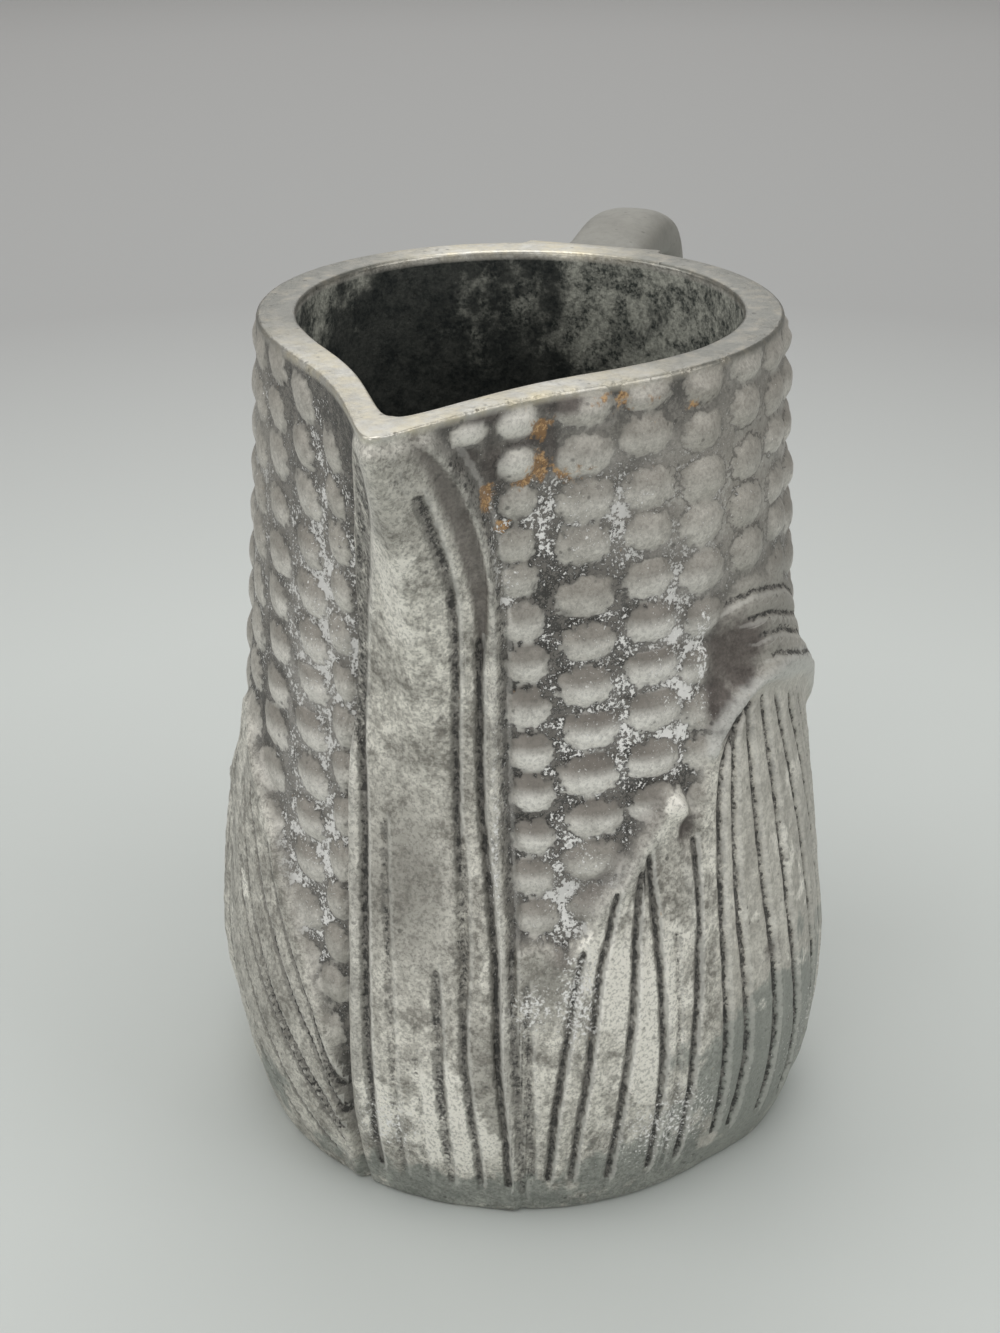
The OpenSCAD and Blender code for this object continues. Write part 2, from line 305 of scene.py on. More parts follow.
def reach_of(line, a, z):
    """Distance in millimetres from (a, z) to a line on the wall, how far that is from the line's nearer end,
    and the side of the line: 1 to the right and -1 to the left of a line drawn downwards."""
    nearest = np.full(a.shape, 1e6)
    along = np.zeros(a.shape)
    side = np.ones(a.shape)
    pts = np.array(line, float) * (mm_per_degree, 1)
    steps = np.hypot(*(pts[1:] - pts[:-1]).T)
    begun = 0
    for p, q, step in zip(pts[:-1], pts[1:], steps):
        dx, dz = a * mm_per_degree - p[0], z - p[1]
        t = np.clip((dx * (q - p)[0] + dz * (q - p)[1]) / (step * step), 0, 1)
        gap = np.hypot(dx - t * (q - p)[0], dz - t * (q - p)[1])
        facing = np.sign((q - p)[0] * dz - (q - p)[1] * dx)
        nearest, along, side = pick(gap < nearest, (gap, begun + t * step, facing), (nearest, along, side))
        begun += step
    return nearest, np.minimum(along, begun - along), side


def below(line, a, z):
    """Distance in millimetres to a line that runs round the wall: over 0 below the line, under 0 above it."""
    gap, _, _ = reach_of(line, a, z)
    return np.where(z < above(line, a), gap, -gap)


def spots(places, a, z):
    """Share, 0 to 1, of soft round places at (degrees, height, half width, half height, strength)."""
    share = np.zeros(a.shape)
    for spot_a, spot_z, wide, high, strength in places:
        off = (a - spot_a + 180) % 360 - 180
        gap = np.square(off * mm_per_degree / wide) + np.square((z - spot_z) / high)
        share = np.maximum(share, strength * np.exp(-gap))
    return share


sharp_half = 0.42  # Half width of a groove with a sharp bottom; a wider one is flat in the middle
far_off = 9.0  # Distance that stands for no groove near


def cut(line, a, z, width, taper=3.5):
    """Share, 0 to 1, of a groove or a rib along a line, whose ends run out softly; the distance from its
    side, with a sign that tells the left from the right; and how near it is."""
    near = (np.abs(z - (line[0][1] + line[-1][1]) / 2) < abs(line[0][1] - line[-1][1]) / 2 + 4 * width + 12)
    near &= (a > min(p[0] for p in line) - 4 * width) & (a < max(p[0] for p in line) + 4 * width)
    share = np.zeros(a.shape)
    offset = np.full(a.shape, far_off)
    closeness = np.zeros(a.shape)
    gap, to_end, side = reach_of(line, a[near], z[near])
    ends = smooth(to_end / taper + 0.15)
    share[near] = np.exp(-np.square(gap / width)) * ends
    outside = np.maximum(gap - max(width - sharp_half, 0) * smooth(to_end / 9 + 0.1), 0)
    offset[near] = outside * side * max(sharp_half / width, 1)
    closeness[near] = np.exp(-np.square(outside / 0.65)) * ends
    return share, offset, closeness


# Columns of kernels: (angle at the rim, angle low down, height of the first, pitch, half width in degrees)
# and then the number of kernels
kernel_columns = [(15.5, 21.3, 79.5, 5.2, 4.3), (28, 32, 103.2, 5.35, 5.8), (41.5, 45, 103.7, 5.3, 6.0),
                  (55.5, 55, 103.2, 5.4, 5.8), (69, 71, 104, 5.5, 6.2), (84, 83, 103.2, 5.1, 6.3),
                  (-17.5, -20.5, 97, 5.6, 3.1), (-28.5, -28, 101, 5.7, 4.6), (-41, -42, 103, 5.55, 5.0),
                  (-54, -55, 102.7, 5.7, 5.3)]
back_pitch_a = 12.9
kernel_columns += [(97 + back_pitch_a * k, 97 + back_pitch_a * k, 103 - 0.5 * (k % 2), 5.4, 6.1)
                   for k in range(6)]
kernel_columns += [(-67.5 - back_pitch_a * k, -67.5 - back_pitch_a * k, 102.4 + 0.6 * (k % 2), 5.4, 6.1)
                   for k in range(8)]
most_kernels = 20
kernel_columns = [(*column, most_kernels) for column in kernel_columns]
kernel_columns += [(9.8, 9.8, 102.3, 3.0, 2.3, 1), (15.9, 15.9, 102.4, 4.45, 3.5, 5)]
kernel_t, kernel_h_share, kernel_power, kernel_slant = 0.95, 0.455, 2.3, 0.3
chance = np.random.default_rng(7)


def kernel_domes(a, z):
    """Share inside the nearest kernel (1 at its middle, 0 at its edge, below 0 outside), its rise, its tone,
    and the height within the kernel from -1 at its foot to 1 at its top."""
    share = np.full(a.shape, -1.0)
    rises, tones, place_up = np.zeros(a.shape), np.zeros(a.shape), np.zeros(a.shape)
    for top_a, low_a, first_z, pitch, half_a, last in kernel_columns:
        shift = chance.normal(0, 0.22, most_kernels)
        lean = chance.normal(0, 0.35, most_kernels)
        size = chance.uniform(0.92, 1.06, most_kernels)
        rise = chance.uniform(0.8, 1.1, most_kernels)
        tone = chance.uniform(0, 1, most_kernels)
        middle = low_a + (top_a - low_a) * (z - 30) / (body_h - 30)
        off = (a - middle + 180) % 360 - 180
        number = np.clip(np.rint((first_z - z) / pitch), 0, last - 1).astype(int)
        u = (off - lean[number]) / (half_a * size[number])
        v = (z - first_z + number * pitch - shift[number]) / (pitch * kernel_h_share * size[number])
        u += kernel_slant * v * (low_a < -15) * (low_a > -60)
        column_share = np.maximum(1 - np.abs(u) ** kernel_power - np.abs(v) ** kernel_power, -1)
        share, rises, tones, place_up = pick(
            column_share > share, (column_share, rise[number], tone[number], np.clip(v, -1, 1)),
            (share, rises, tones, place_up))
    return share, rises, tones, place_up


spout_groove = [(3.4, 104.3), (5.1, 101), (6.7, 97), (8.8, 90), (10, 85), (10.2, 80), (9.9, 74)]
small_leaf_slope = [(44, 56), (39, 52.5), (34, 49), (29.5, 45.5), (26, 42), (24, 38)]
front_grooves = [
    ([(9.6, 79), (9.7, 70), (9.5, 64), (9.9, 56), (11, 50), (12.5, 38), (13, 24), (14.6, 12), (15, 4)],
     0.42, 0.6),
    ([(3.4, 98), (4.2, 94), (4.9, 90.4), (5.8, 86.2), (6.2, 82.4), (6.1, 78), (5.9, 74), (5.4, 66), (5.3, 56),
      (6.7, 39), (7, 25), (9, 11), (9.5, 4)], 0.42, 0.42),
    ([(6.2, 54), (6.7, 40), (6.9, 30)], 0.75, 0.25),
    ([(1.3, 103.2), (1.6, 101.3), (1.8, 98.9), (2.0, 97)], 0.3, 0.15),
    ([(-2.8, 103.5), (-5, 96), (-8, 89.5), (-11, 82), (-12.7, 76), (-13.8, 69), (-14.1, 62)], 1.3, 0.32),
    ([(-13.6, 68), (-13.4, 60), (-12.8, 47), (-12.2, 36), (-11.2, 18), (-11.5, 4)], 0.5, 0.5),
    ([(-8.8, 55), (-8.5, 49), (-7.6, 38), (-6.4, 24), (-6.1, 10), (-6, 4)], 0.45, 0.25),
    ([(1.7, 37), (2.5, 23), (3.8, 4)], 0.6, 0.35),
    ([(-2, 25), (-1.5, 18), (-1, 4)], 0.4, 0.2)]
front_ribs = [
    ([(4.2, 104.3), (6.1, 101.5), (8.6, 97), (11, 90.3), (12.1, 84.2), (12.4, 78), (12.3, 70), (12, 60),
      (12.8, 50), (14.2, 38), (14.6, 24), (16, 6)], 0.6, 0.6),
    ([(-1.6, 104), (-1.6, 98), (-2.9, 93), (-6.3, 85), (-9.3, 78)], 0.5, 0.35),
    ([(-16, 66), (-15.6, 56), (-14.9, 44), (-14.2, 30), (-14, 8)], 0.7, 0.3)]
small_leaf_grooves = [
    ([(28.4, 40), (26.5, 33), (25, 26), (23.3, 17), (22.5, 5)], 0.4, 0.5),
    ([(34.5, 47), (33, 41), (31.5, 37), (30.5, 32), (29.5, 25), (27.6, 14), (27, 5)], 0.4, 0.5),
    ([(39.3, 49), (38.2, 40), (37.6, 30), (36, 20), (34.8, 10), (34.5, 4)], 0.4, 0.55),
    ([(40.5, 51), (42, 42), (43.2, 33), (43.7, 24), (43.2, 4)], 0.4, 0.55),
    ([(51, 51), (51.5, 41), (51.2, 32), (50.3, 22), (49.7, 4)], 0.4, 0.5),
    ([(46.5, 40), (47, 30), (47, 18), (46.5, 4)], 0.3, 0.25),
    ([(18, 36), (18.5, 24), (19.5, 6)], 0.5, 0.3)]
small_leaf_ribs = [([(48.2, 49), (50.1, 43.3), (51.2, 36)], 0.7, 0.35),
                   ([(45.5, 54.5), (41, 51.5), (36, 48), (31, 44.5), (27.5, 42)], 1.5, 0.45)]
folded_leaf_grooves = [
    ([(68, 64.6), (63, 63.2), (60, 61.2), (58, 58.5), (57.2, 54), (57, 45), (57.5, 35), (58.4, 22),
      (59.2, 5)], 0.42, 0.6),
    ([(61.4, 63.6), (61, 48), (61.5, 38), (63, 28), (63.9, 18), (63.4, 5)], 0.42, 0.6),
    ([(65.6, 65.2), (67, 52), (68.4, 42), (70.5, 30), (71.4, 19), (71.5, 5)], 0.42, 0.6),
    ([(70.6, 65), (74, 50), (75.5, 40), (77, 28), (78.5, 16), (78.5, 5)], 0.42, 0.6),
    ([(76, 63.8), (81, 52), (84, 43), (86, 32), (87, 20), (86.5, 5)], 0.42, 0.6),
    ([(82.5, 62.2), (89, 50), (93, 41), (95.5, 30), (96, 18), (95, 5)], 0.42, 0.6),
    ([(90, 60.2), (97, 49), (101, 40), (103, 28), (103.5, 16), (103, 5)], 0.42, 0.55),
    ([(97.5, 56.5), (104, 46), (108, 38), (110, 28), (111, 5)], 0.42, 0.5)]
flap_grooves = [
    ([(59, 76.2), (63.5, 77), (69, 77.2), (76, 76.3), (86, 74.5), (98, 70)], 0.42, 0.5),
    ([(64, 74.4), (69, 74.3), (75.5, 73.6), (82, 72), (92, 69.5), (101, 66)], 0.42, 0.5),
    ([(66.5, 71.8), (71.5, 72), (78, 71), (88, 68.3), (101, 63)], 0.42, 0.5),
    ([(69, 69.6), (74, 69.2), (82, 67.3), (92, 64.8), (102, 60.5)], 0.42, 0.45)]
lip_line = [(54, 59), (55.8, 62), (59.5, 64.5), (63.5, 66), (67.5, 66.9), (74, 66.9), (81, 66), (89, 64.6),
            (98, 61.8), (104, 58.5), (110, 54)]
left_leaf_grooves = [
    ([(-39.8, 45), (-34, 36), (-24.6, 26), (-17.6, 15)], 0.38, 0.45),
    ([(-50, 50), (-41.6, 38), (-32, 28), (-23.7, 20), (-17.4, 11)], 0.42, 0.55),
    ([(-55, 48), (-46, 34), (-36, 24), (-27, 16.5), (-18, 8.5)], 0.36, 0.4),
    ([(-60, 45), (-51, 33), (-43.5, 27), (-35.9, 21), (-27.3, 14), (-18.5, 6)], 0.42, 0.55),
    ([(-62, 34), (-50, 25), (-41, 18), (-32.5, 10), (-22, 3)], 0.4, 0.5),
    ([(-66, 30), (-54, 19), (-44, 11), (-33, 4)], 0.4, 0.45),
    ([(-70, 22), (-58, 12), (-48, 5)], 0.38, 0.4)]
for k in range(8):
    left_leaf_grooves.append(([(-60 - 6 * k, 54 - 2.2 * k), (-66 - 5.6 * k, 42 - 2 * k), (-71 - 5 * k, 24),
                               (-74 - 5 * k, 6)], 0.42, 0.5))
back_grooves = []
for s in (-1, 1):
    for k in range(8):
        back_grooves.append(([(s * (115 + 6.2 * k), 47 + 3 * (k % 2)), (s * (114.5 + 6.3 * k), 28),
                              (s * (115 + 6.2 * k), 8)], 0.45, 0.5))
for s in (-1, 1):
    for k in range(4):
        back_grooves.append(([(s * (165 + 5 * k), 101), (s * (165.5 + 5 * k), 60), (s * (165 + 5 * k), 8)],
                             0.45, 0.45))

# Heights of the relief over the plain wall, in millimetres
leaf_t, far_left_drop, leaf_edge_t = 1.3, 0.75, 0.35
flap_t, flap_lift, fold_t, lip_t, hollow_t = 0.5, 2.2, 2.2, 1.3, 1.0
nub_t, edge_cut_t, spout_cut_t, rough_t, inner_rough_t = 1.1, 0.75, 0.65, 0.10, 0.06
groove_bank_t, groove_bank_w, groove_bank_a = 0.45, 0.55, 1.5

# Leaves: how far inside its edge each point lies, and where the leaves, the fold and the flap are
a, z = angle, height
foot_fade = smooth((z - 0.6) / 5)
top_fade = smooth((body_h - 0.8 - z) / 1.6)
front_inside = np.minimum(across(front_right_edge, z) - a, a - across(front_left_edge, z)) * mm_per_degree
front_leaf = smooth(front_inside / 1.2 + 0.5)
husk_inside = below(husk_edge, a, z)
husk = smooth(husk_inside / 1.6 + 0.5)
back_inside = (17 - np.abs(np.abs(a) - 180)) * mm_per_degree
back_leaf = smooth(back_inside / 1.4 + 0.5)
leaf = np.maximum(np.maximum(front_leaf, husk), back_leaf)
fold_zone = between(a, 54, 7, 112, 9)
left_fold = between(a, -112, 12, -68, 10)
far_left = between(a, -104, 12, -48, 10) * smooth((z - 42) / 12)
belly_swell = np.interp(z, [0, 4, 12, 24, 38, 58, 72], [0.8, 1, 1, 0.85, 0.55, 0.15, 0])
flap_inside = below(flap_edge, a, z)
flap = fold_zone * smooth(flap_inside / 2 + 0.3) * (1 - husk)
flap_rise = np.clip(flap_inside / 9, 0, 1)

# Kernels, and then the leaves over them with the folded leaf's flap, belly and lip
kernel_share, kernel_rise, kernel_tone, kernel_up = kernel_domes(a, z)
dome = kernel_rise * np.maximum(kernel_share, 0)
ear = (1 - leaf) * (1 - flap)
relief = kernel_t * dome * ear * (1 - 0.4 * smooth((-a - 20) / 20))
leaf_edge = np.exp(-np.square((np.maximum(husk_inside, 0) - 1.2) / 1.2))
relief += (leaf_t - far_left_drop * far_left) * leaf + leaf_edge_t * leaf * leaf_edge * husk
relief += flap * (flap_t + flap_lift * flap_rise)
relief += fold_t * belly_swell * husk * np.maximum(between(a, 56, 26, 112, 9), left_fold)
lip_wide = 0.75 + 1.25 * smooth((a - 66) / 16)
lip_gap, lip_end, _ = reach_of(lip_line, a, z)
lip = np.exp(-np.square(lip_gap / lip_wide)) * smooth(lip_end / 2.5 + 0.15)
relief += lip_t * lip

# The hollow under the flap, the small leaf's knobbed tip with the notch beside it, and the front leaf's edges
relief -= hollow_t * spots([(61.5, 70, 3.8, 5, 1)], a, z) * (1 - husk)
relief += nub_t * spots([(47, 55.4, 1.5, 1.7, 1)], a, z) - nub_t * spots([(49.6, 51.6, 1.2, 2.2, 1)], a, z)
edge_cut = np.exp(-np.square((np.abs(front_inside) - 0.1) / 0.55)) * smooth((102 - z) / 12)
relief -= edge_cut_t * edge_cut * (1 - 0.5 * (a > 0))

# Grooves with their raised banks, the spout's crescent groove and the ribs. Of the nearest groove each point
# keeps how near it is, the distance from its side, and how dark it is.
nearest_line = [np.zeros(count), np.full(count, far_off), np.zeros(count)]
grooves = front_grooves + small_leaf_grooves + folded_leaf_grooves + left_leaf_grooves + back_grooves
dark_edges = [(front_left_edge[5:], 0.4, 0.25), (front_right_edge[1:], 0.5, 0.3)]
for line, width, depth in grooves + dark_edges:
    share, offset, near = cut(line, a, z, width, 2)
    if (line, width, depth) not in dark_edges:
        relief -= depth * share * foot_fade
    nearest_line = pick(near > nearest_line[0], (near, offset, min(depth / 0.5, 1)), nearest_line)
for line, width, depth in small_leaf_grooves[:6] + folded_leaf_grooves[:8] + left_leaf_grooves:
    beside = [(p[0] + groove_bank_a, p[1]) for p in line]
    relief += groove_bank_t * depth * cut(beside, a, z, groove_bank_w)[0] * foot_fade
for line, width, depth in flap_grooves:
    share, offset, near = cut(line, a, z, width)
    relief -= depth * share * flap
    near *= smooth((flap - 0.08) / 0.3)
    nearest_line = pick(near > nearest_line[0], (near, -offset, 0.9), nearest_line)
line_near, line_offset, line_dark = nearest_line
spout_gap, spout_end, _ = reach_of(spout_groove, a, z)
spout_half = np.interp(z, [76, 80, 85, 90, 97, 101, 104.3], [0.35, 0.5, 0.9, 0.96, 0.85, 0.5, 0.15])
spout_cut = smooth((spout_half - spout_gap) / 0.45 + 0.5) * smooth(spout_end / 3 + 0.1)
relief -= spout_cut_t * spout_cut
slope_gap, _, _ = reach_of(small_leaf_slope, a, z)
shade = np.maximum(spout_cut, 0.55 * smooth((1.1 - slope_gap) / 1.1 + 0.4))
# Painted highlight along the raised ribs
rib_highlight = np.zeros(count)
for line, width, depth in front_ribs + small_leaf_ribs:
    share = cut(line, a, z, width)[0]
    relief += depth * share
    rib_highlight = np.maximum(rib_highlight, share)

# The cast skin's unevenness; then all relief fades out at the ground rim and pushes the wall
rough = np.array([noise.noise(Vector(p) * 0.35) + 0.5 * noise.noise(Vector(p) * 0.9) for p in xyz])
relief += rough_t * rough
relief *= top_fade
outer = (1 - inner) * free
push = outer * (relief + spout_push(a, z, 0)) + inner * free * (spout_push(a, z, 1) + inner_rough_t * rough)
turn = np.radians(angle)

# Flats where the handle's two ends are soldered on: (distance of the flat, half angle, lowest, highest)
handle_turn, top_seat, low_seat = 178.5, 30.73, 36.3
round_rim = np.where((height > body_h - 1) & (inner == 0), mouth_r - radius, 0)
radius = radius + push
off_handle = (angle - handle_turn + 180) % 360 - 180
for seat, half_a, low_z, high_z in ((top_seat, 17.4, 94.4, 120), (low_seat, 14.9, 34.8, 47.2)):
    flat = smooth((half_a - np.abs(off_handle)) / 1.4) * between(z, low_z, 0.9, high_z, 0.9)
    flat *= (inner == 0) * free
    radius += flat * (seat / np.cos(np.radians(off_handle)) - round_rim - radius)
move_points(body, np.column_stack((radius * np.cos(turn), radius * np.sin(turn), height)) * mm)


# Stains and tones, painted on the mesh as masks: (degrees, height, half width, half height, strength)
bloom_places = [(48, 72, 5, 16, 1.1), (32, 68, 9, 18, 0.78), (28, 46, 8, 12, 1), (30, 90, 12, 7, 0.95),
                (55, 88, 14, 12, 0.6), (-24, 75, 9, 26, 0.9), (-27, 45, 9, 20, 0.85), (-55, 88, 14, 16, 0.6),
                (0, 6, 40, 6, 0.5), (60, 8, 25, 8, 0.5), (-60, 80, 20, 30, 0.5), (14, 84, 3, 8, 0.9),
                (11, 50, 2.5, 22, 0.75), (100, 80, 20, 25, 0.5), (150, 75, 20, 22, 0.6),
                (-100, 75, 25, 22, 0.6), (-150, 80, 20, 25, 0.5), (170, 20, 40, 16, 0.4)]
rust_places = [(19.9, 101.6, 1.6, 1.6, 1), (20, 97, 1.6, 1.8, 1), (17.2, 96, 1.7, 0.9, 0.9),
               (25, 96.3, 2.6, 1.1, 0.9), (29.5, 96.2, 1.6, 0.9, 0.75), (11.3, 95, 0.7, 1.9, 1),
               (13.7, 91.2, 1, 0.9, 0.95), (31, 103.4, 2, 1, 0.8), (35.6, 103, 1.3, 1.4, 0.9),
               (41.4, 102.8, 1.4, 1, 0.85), (52, 101.2, 1.6, 1.1, 0.7), (140, 95, 8, 4, 0.5),
               (-95, 98, 6, 4, 0.5)]
# Brown stains, and painted shade in the hollow under the flap, in the notch beside the small leaf's knob and
# under the rim right of the spout
umber_and_shade_places = [(61.5, 71, 4.2, 5, 1.0), (58.5, 66, 2.2, 4.5, 1.0), (66, 72, 3, 3, 0.9),
                (64, 68, 2.4, 2.4, 1.0), (59, 63.5, 1.6, 2.2, 0.9), (49.6, 51.6, 1.6, 2.6, 0.9),
                (12.5, 98.5, 1.7, 3.6, 1), (9.4, 99.8, 1.2, 1.5, 1), (12, 104, 3, 1.1, 1),
                (17, 100.3, 3, 0.9, 1), (21.7, 99, 1.1, 4, 0.8), (22, 103.5, 4, 1.2, 0.8),
                (30, 47, 7, 3, 0.35), (70, 30, 10, 14, 0.15)]
pale_places = [(-3, 84, 4, 10, 0.62), (3, 15, 6, 9, 0.9), (-9, 17, 4, 9, 0.75), (38, 30, 8, 16, 0.8),
               (-55, 35, 8, 16, 0.3), (75, 40, 12, 20, 0.4), (150, 25, 20, 16, 0.5), (-130, 25, 20, 16, 0.5),
               (47, 55.6, 2, 2, 1)]
bright_places = [(9.8, 102.3, 2.2, 1.9, 1), (15.9, 102.4, 3, 1.9, 0.9), (15.9, 98, 3, 1.9, 0.9)]
green_places = [(74, 14, 18, 16, 1), (40, 6, 16, 7, 0.85), (5, 3, 24, 4.5, 0.85), (60, 2, 30, 4, 0.9),
                (-45, 8, 16, 9, 0.5), (150, 10, 30, 9, 0.7), (-140, 10, 30, 9, 0.7)]
# Painted reflection on the ground rim, bright at the spout and at the back-left
sheen_places = [(0, 100, 30, 20, 1), (-160, 100, 22, 20, 0.95)]
dim_places = [(-4, 47, 6, 12, 0.75), (3, 96, 5, 8, 0.4), (-45, 22, 20, 24, 0.4), (21, 35, 4, 4, 0.7),
              (12, 22, 3, 9, 0.5), (-14, 20, 2.5, 14, 0.4), (76, 12, 16, 14, 0.45), (78, 73, 16, 8, 0.8),
              (90, 40, 9, 26, 0.3), (-150, 40, 22, 30, 0.4), (160, 50, 22, 30, 0.4)]
# Where kernels get painted halves: painted shade above and a painted reflection of the pale table below
lit_and_shaded_half_places = [(34, 64, 13, 17, 1), (46, 74, 9, 11, 1), (18, 60, 6, 26, 0.9), (32, 92, 12, 10, 0.4),
               (-30, 60, 12, 34, 0.7), (110, 80, 20, 25, 0.6), (180, 80, 50, 25, 0.6),
               (-110, 80, 30, 25, 0.6)]
faint_places = [(50, 92, 9, 10, 0.8), (70, 90, 14, 18, 0.9), (95, 90, 14, 18, 0.8), (-60, 90, 16, 22, 0.6),
                (-30, 70, 12, 40, 0.35), (30, 98, 8, 5, 0.6)]
chalk_places = [(54.3, 72, 1.4, 8, 0.55), (12.5, 55, 0.9, 18, 0.4), (46, 12, 9, 7, 0.45), (-8, 13, 6, 6, 0.4),
                (27, 33, 3, 9, 0.5), (19, 32, 3, 4, 0.5), (100, 15, 20, 10, 0.35), (-100, 15, 30, 10, 0.35)]
# Places where the inside is painted darker, at the left and the back
inner_darker_places = [(-40, 88, 30, 30, 1), (-132, 86, 34, 26, 1), (180, 55, 60, 26, 0.7)]
masks = {
    "kernel_share": kernel_share,
    "line_offset": line_offset,
    "line_near": line_near * foot_fade * outer,
    "line_dark": line_dark,
    "rib_highlight": rib_highlight * outer,
    "ear": ear * outer,
    "shade": shade * outer,
    "bright": spots(bright_places, a, z) * smooth(kernel_share * 2.5) * outer,
    "kernel_tone": kernel_tone * outer,
    # Lower half of each kernel, painted pale as a reflection of the table; the upper half takes painted shade
    "kernel_lit_lower_half": smooth(0.68 - 1.35 * kernel_up) * outer,
    "sheen": spots(sheen_places, a, z),
    # The rolled lip, painted pale as its highlight
    "lip": smooth(lip * 1.9 - 0.35) * outer,
    "calm": between(a, 54, 6, 118, 10) * (1 - ear) * outer,
    "faint": np.maximum(spots(faint_places, a, z), 0.85 * spots(umber_and_shade_places, a, z)) * outer,
    "inside": np.where(z < body_h - rim_edge_r * 1.5, inner, 0),
    "inner_darker": spots(inner_darker_places, a, z) * inner,
    "rim": smooth((z - (body_h - 0.9)) / 0.7),
}
stains = {"dim": dim_places, "lit_and_shaded_halves": lit_and_shaded_half_places, "chalk": chalk_places, "bloom": bloom_places,
          "rust": rust_places, "umber_and_shade": umber_and_shade_places, "pale": pale_places, "green": green_places}
masks.update({name: spots(places, a, z) * outer for name, places in stains.items()})
for name, values in masks.items():
    layer = body.data.attributes.new(name, "FLOAT", "POINT")
    layer.data.foreach_set("value", values)
bpy.ops.object.shade_smooth()


# Node groups that the metals share: ragged patches, and the grain and pits of a sand casting
def new_group(name, inputs, outputs):
    """An empty shader node group with its named inputs and outputs."""
    group = bpy.data.node_groups.new(name, "ShaderNodeTree")
    for label, kind, value in inputs:
        socket = group.interface.new_socket(label, in_out="INPUT", socket_type="NodeSocket" + kind)
        if value is not None:
            socket.default_value = value
    for label, kind in outputs:
        group.interface.new_socket(label, in_out="OUTPUT", socket_type="NodeSocket" + kind)
    return group, group.nodes.new("NodeGroupInput").outputs, group.nodes.new("NodeGroupOutput").inputs


def patch_group():
    """Ragged patches: Amount says how much of the surface they cover, Edge how softly they end."""
    group, given, result = new_group(
        "ragged_patches",
        [("Place", "Vector", None), ("Scale", "Float", 100), ("Detail", "Float", 6), ("Amount", "Float", 0.5),
         ("Edge", "Float", 0.1)],
        [("Mask", "Float")])
    cloud = add_node(group, "ShaderNodeTexNoise", {
        "Vector": given["Place"], "Scale": given["Scale"], "Detail": given["Detail"], "Roughness": 0.65})
    cloud = cloud.outputs["Fac"]
    level = math_node(group, "MULTIPLY_ADD", given["Amount"], -0.5, 0.75)
    low = math_node(group, "SUBTRACT", level, given["Edge"])
    high = math_node(group, "ADD", level, given["Edge"])
    mask = add_node(group, "ShaderNodeMapRange", {"Value": cloud, "From Min": low, "From Max": high},
                    interpolation_type="SMOOTHSTEP")
    group.links.new(mask.outputs["Result"], result["Mask"])
    return group


def grain_group():
    """Skin of a sand casting: a fine grain with small pits, as a height of 0 to 1 and a mask of the pits."""
    group, given, result = new_group(
        "sand_grain",
        [("Place", "Vector", None), ("Grain", "Float", 1500), ("Pits", "Float", 0.5)],
        [("Height", "Float"), ("Pit Mask", "Float")])
    at = {"Vector": given["Place"]}
    grain = add_node(group, "ShaderNodeTexNoise", {**at, "Scale": given["Grain"], "Detail": 4,
                                                   "Roughness": 0.6}).outputs["Fac"]
    cells = add_node(group, "ShaderNodeTexVoronoi", {**at, "Scale": 700, "Randomness": 1}).outputs["Distance"]
    few = add_node(group, "ShaderNodeTexNoise", {**at, "Scale": 260, "Detail": 2}).outputs["Fac"]
    few = add_node(group, "ShaderNodeMapRange", {"Value": few, "From Min": 0.5, "From Max": 0.62})
    hole = add_node(group, "ShaderNodeMapRange", {"Value": cells, "From Min": 0.22, "From Max": 0.12})
    pits = math_node(group, "MULTIPLY", hole.outputs["Result"], few.outputs["Result"])
    pits = math_node(group, "MULTIPLY", pits, given["Pits"])
    depth = math_node(group, "SUBTRACT", grain, pits)
    group.links.new(depth, result["Height"])
    group.links.new(pits, result["Pit Mask"])
    return group


patches = patch_group()
sand_grain = grain_group()


def patch(tree, place, scale, amount, edge=0.1, detail=6):
    """Mask of ragged patches in a material."""
    inputs = {"Place": place, "Scale": scale, "Detail": detail, "Amount": amount, "Edge": edge}
    return add_node(tree, "ShaderNodeGroup", inputs, node_tree=patches).outputs["Mask"]


def grained(tree, place, colour, pit_colour):
    """Height of the cast skin's grain, and a colour with the grain's pits in it."""
    grain = add_node(tree, "ShaderNodeGroup", {"Place": place}, node_tree=sand_grain)
    return grain.outputs["Height"], tint(tree, grain.outputs["Pit Mask"], colour, pit_colour)


def bump_up(tree, shader, height, strength, distance):
    """Gives a material's surface its small heights; distance is how high 1 stands, in metres."""
    bump = add_node(tree, "ShaderNodeBump", {"Height": height, "Strength": strength, "Distance": distance})
    tree.links.new(bump.outputs["Normal"], shader.inputs["Normal"])


def product(tree, *factors):
    """Product of any number of values."""
    result = factors[0]
    for factor in factors[1:]:
        result = math_node(tree, "MULTIPLY", result, factor)
    return result


def tint(tree, share, under, over, strength=1):
    """Colour over laid on colour under by a mask, at the given strength."""
    if strength != 1:
        share = product(tree, share, strength)
    made = add_node(tree, "ShaderNodeMix", data_type="RGBA")
    for name, value in (("Factor", share), ("A", under), ("B", over)):
        socket = next(s for s in made.inputs if s.name == name and s.enabled and s.type != "VECTOR")
        feed(tree, socket, (*value, 1) if isinstance(value, tuple) else value)
    return next(s for s in made.outputs if s.enabled)


def layered(tree, colour, layers):
    """Colour with others laid over it, each (mask, colour, strength), the lowest first."""
    for mask, over, strength in layers:
        colour = tint(tree, mask, colour, over, strength)
    return colour


def ramp_of(tree, value, low, high, start=0, end=1):
    """Value carried over softly from low..high to start..end."""
    inputs = {"Value": value, "From Min": low, "From Max": high, "To Min": start, "To Max": end}
    return add_node(tree, "ShaderNodeMapRange", inputs, interpolation_type="SMOOTHSTEP").outputs["Result"]


material, tree, shader, place = plain_material("cast_ear_metal")
mark = {name: add_node(tree, "ShaderNodeAttribute", attribute_name=name).outputs["Fac"] for name in masks}
ear, line_near, inside, rim = mark["ear"], mark["line_near"], mark["inside"], mark["rim"]

